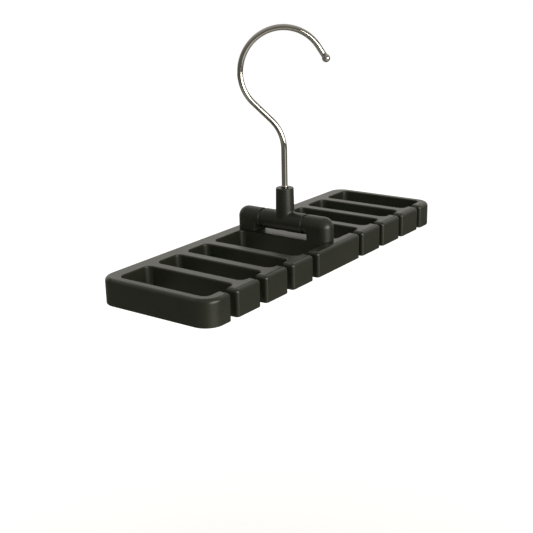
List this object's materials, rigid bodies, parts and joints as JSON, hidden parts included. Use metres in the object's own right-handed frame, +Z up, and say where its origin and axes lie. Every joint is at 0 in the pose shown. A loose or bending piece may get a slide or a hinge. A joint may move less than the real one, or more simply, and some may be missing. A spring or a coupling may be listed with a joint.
{
  "type": "tie hanger",
  "caption": "Comb hanger for belts and neckties: a long moulded ring of T-shaped fingers with side slots, tilting on a T-shaped hub that turns under a chromed wire hook.",
  "frame": {"origin": "the point inside the top of the hook that rests on the rod", "axes": "+Z up, +X along the ring from the belt half to the tie half, -Y towards the slotted side"},
  "size_m": [0.24, 0.076, 0.1375],
  "materials": {
    "comb_plastic": "satin moulded plastic, dark olive black",
    "hub_plastic": "satin moulded plastic, dark olive black, a little smoother than the ring",
    "spacer_nylon": "smooth black nylon",
    "hook_chrome": "polished chrome plate on steel wire",
    "zinc_steel": "bright zinc on steel"
  },
  "bodies": {
    "hook": {"hook_wire": "hook_chrome", "hook_collar": "hook_chrome", "thrust_washer": "zinc_steel", "push_nut": "zinc_steel"},
    "hub": {"swivel_hub": "hub_plastic"},
    "ring": {"back_rail": "comb_plastic", "near_end_rail": "comb_plastic", "far_end_rail": "comb_plastic", "bridge_finger": "comb_plastic", "finger_1": "comb_plastic", "finger_2": "comb_plastic", "finger_3": "comb_plastic", "finger_4": "comb_plastic", "finger_5": "comb_plastic", "finger_6": "comb_plastic", "back_bracket": "hub_plastic", "front_bracket": "hub_plastic", "tilt_axle": "zinc_steel", "back_spacer": "spacer_nylon", "front_spacer": "spacer_nylon", "bracket_screws": "zinc_steel"}
  },
  "joints": [
    {"name": "hook_swivel", "type": "hinge", "parent": "hook", "child": "hub", "pos_m": [0, 0, -0.09045], "axis": [0, 0, 1], "continuous": true},
    {"name": "ring_tilt", "type": "hinge", "parent": "hub", "child": "ring", "pos_m": [0, 0, -0.11095], "axis": [0, 1, 0], "range_deg": [-75, 75]}
  ]
}
